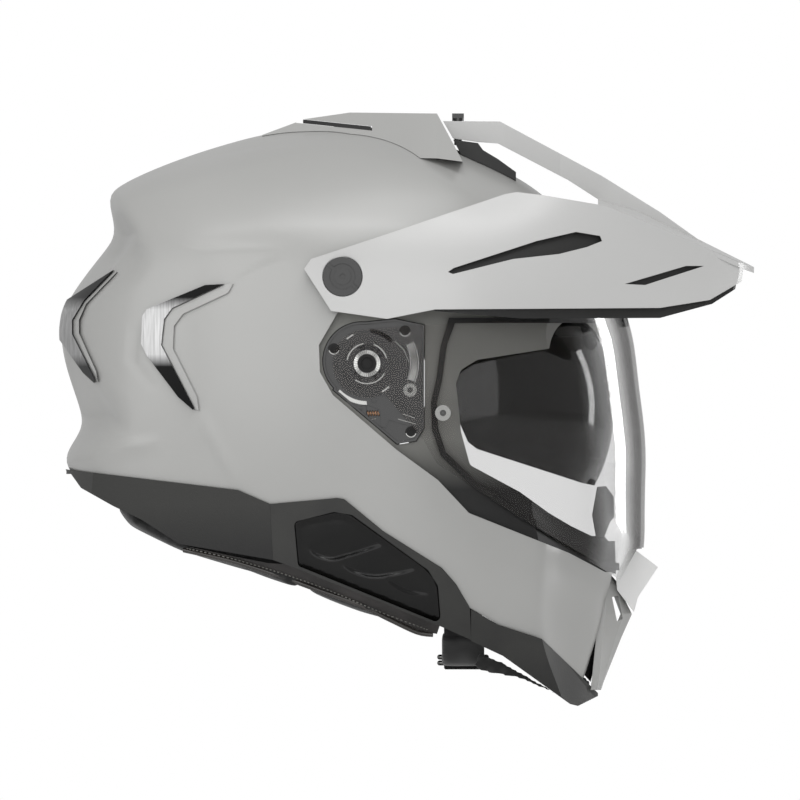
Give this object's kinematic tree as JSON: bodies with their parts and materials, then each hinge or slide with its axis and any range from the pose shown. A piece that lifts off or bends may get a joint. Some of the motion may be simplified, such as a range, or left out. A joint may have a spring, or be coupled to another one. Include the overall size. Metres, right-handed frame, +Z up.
{
  "type": "dual sport helmet",
  "caption": "Full-face dual sport motorcycle helmet with a long roof peak, a clear flip-up shield, a drop-down sun visor, sliding vents, chin strap and soft lining",
  "frame": {"origin": "in the head cavity, midway between the two shield pivots on their common axis", "axes": "+X the way the helmet faces, +Y the wearer's left, +Z up"},
  "size_m": [0.4024, 0.2574, 0.3436],
  "materials": {
    "shell_paint": "gloss grey lacquer",
    "peak_paint": "gloss light grey lacquer",
    "chin_paint": "gloss grey lacquer",
    "grey_frame": "satin grey paint",
    "brushed_silver": "brushed silver, fading to black",
    "matte_black": "fine matte grain",
    "gloss_black": "smooth moulded",
    "black_rubber": "matte",
    "black_steel": "blackened",
    "steel": "bright",
    "copper_steel": "drawn wire",
    "clear_shield": "clear hard-coated sheet",
    "smoked_lens": "dark smoke lens",
    "foam": "expanded bead foam",
    "cloth": "brushed knit",
    "fleece": "soft pile",
    "webbing": "woven tape"
  },
  "bodies": {
    "helmet": {"back_fin_frames": "grey_frame", "back_fins": "brushed_silver", "breath_guard": "matte_black", "cheek_pad_left": "cloth", "cheek_pad_right": "cloth", "chin_beak": "chin_paint", "chin_curtain": "cloth", "chin_liner": "foam", "chin_panel": "chin_paint", "crown_pad": "cloth", "crown_vent": "matte_black", "eyeport_gasket": "black_rubber", "eyeport_trim": "matte_black", "front_trim": "matte_black", "guide_screws": "steel", "impact_liner": "foam", "lever_spring_left": "copper_steel", "lever_spring_right": "copper_steel", "neck_roll": "cloth", "peak": "peak_paint", "peak_collars": "gloss_black", "peak_liner": "matte_black", "peak_side_screws": "gloss_black", "peak_top_screw": "gloss_black", "pivot_hubs": "steel", "pivot_plate_left": "gloss_black", "pivot_plate_right": "gloss_black", "plate_screws": "black_steel", "rear_trim": "matte_black", "roof_vent_cover": "shell_paint", "shell": "shell_paint", "side_cover_frame_left": "grey_frame", "side_cover_frame_right": "grey_frame", "side_cover_left": "matte_black", "side_cover_right": "matte_black", "side_fin_frames": "grey_frame", "side_fins": "brushed_silver", "strap_anchors": "steel", "strap_pads": "fleece", "strap_rings": "steel", "strap_snap": "gloss_black", "strap_webbing": "webbing", "visor_pins": "steel"},
    "shield": {"face_shield": "clear_shield", "pinlock_pins": "steel", "pivot_gear_left": "gloss_black", "pivot_gear_right": "gloss_black"},
    "visor": {"sun_visor": "smoked_lens"},
    "visor_switch": {"visor_slider": "gloss_black"},
    "roof_slider": {"roof_vent_slider": "gloss_black"},
    "shutter": {"chin_vent_shutter": "matte_black"},
    "lever_right": {"release_lever_right": "gloss_black"},
    "lever_left": {"release_lever_left": "gloss_black"}
  },
  "joints": [
    {"name": "shield_pivot", "type": "hinge", "parent": "helmet", "child": "shield", "pos_m": [0, 0, 0], "axis": [0, -1, 0], "range_deg": [0, 32]},
    {"name": "sun_visor_pivot", "type": "hinge", "parent": "helmet", "child": "visor", "pos_m": [0.04805, 0, -0.02576], "axis": [0, -1, 0], "range_deg": [0, 45]},
    {"name": "sun_visor_switch", "type": "slide", "parent": "helmet", "child": "visor_switch", "axis": [-0.9613, -0.2756, 0], "range_m": [0, 0.014]},
    {"name": "roof_vent_slide", "type": "slide", "parent": "helmet", "child": "roof_slider", "axis": [-0.9947, 0, 0.1024], "range_m": [0, 0.004]},
    {"name": "chin_shutter_slide", "type": "slide", "parent": "helmet", "child": "shutter", "axis": [0, 0, 1], "range_m": [0, 0.004]},
    {"name": "release_lever_right", "type": "hinge", "parent": "helmet", "child": "lever_right", "pos_m": [0.00405, -0.1118, -0.02113], "axis": [0, -1, 0], "range_deg": [0, 5], "stiffness_Nm_per_rad": 0.2},
    {"name": "release_lever_left", "type": "hinge", "parent": "helmet", "child": "lever_left", "pos_m": [0.00405, 0.1118, -0.02113], "axis": [0, -1, 0], "range_deg": [0, 5], "stiffness_Nm_per_rad": 0.2}
  ],
  "couplings": [
    {"joint": "sun_visor_switch", "follows": "sun_visor_pivot", "m_per_rad": 0.017825}
  ]
}
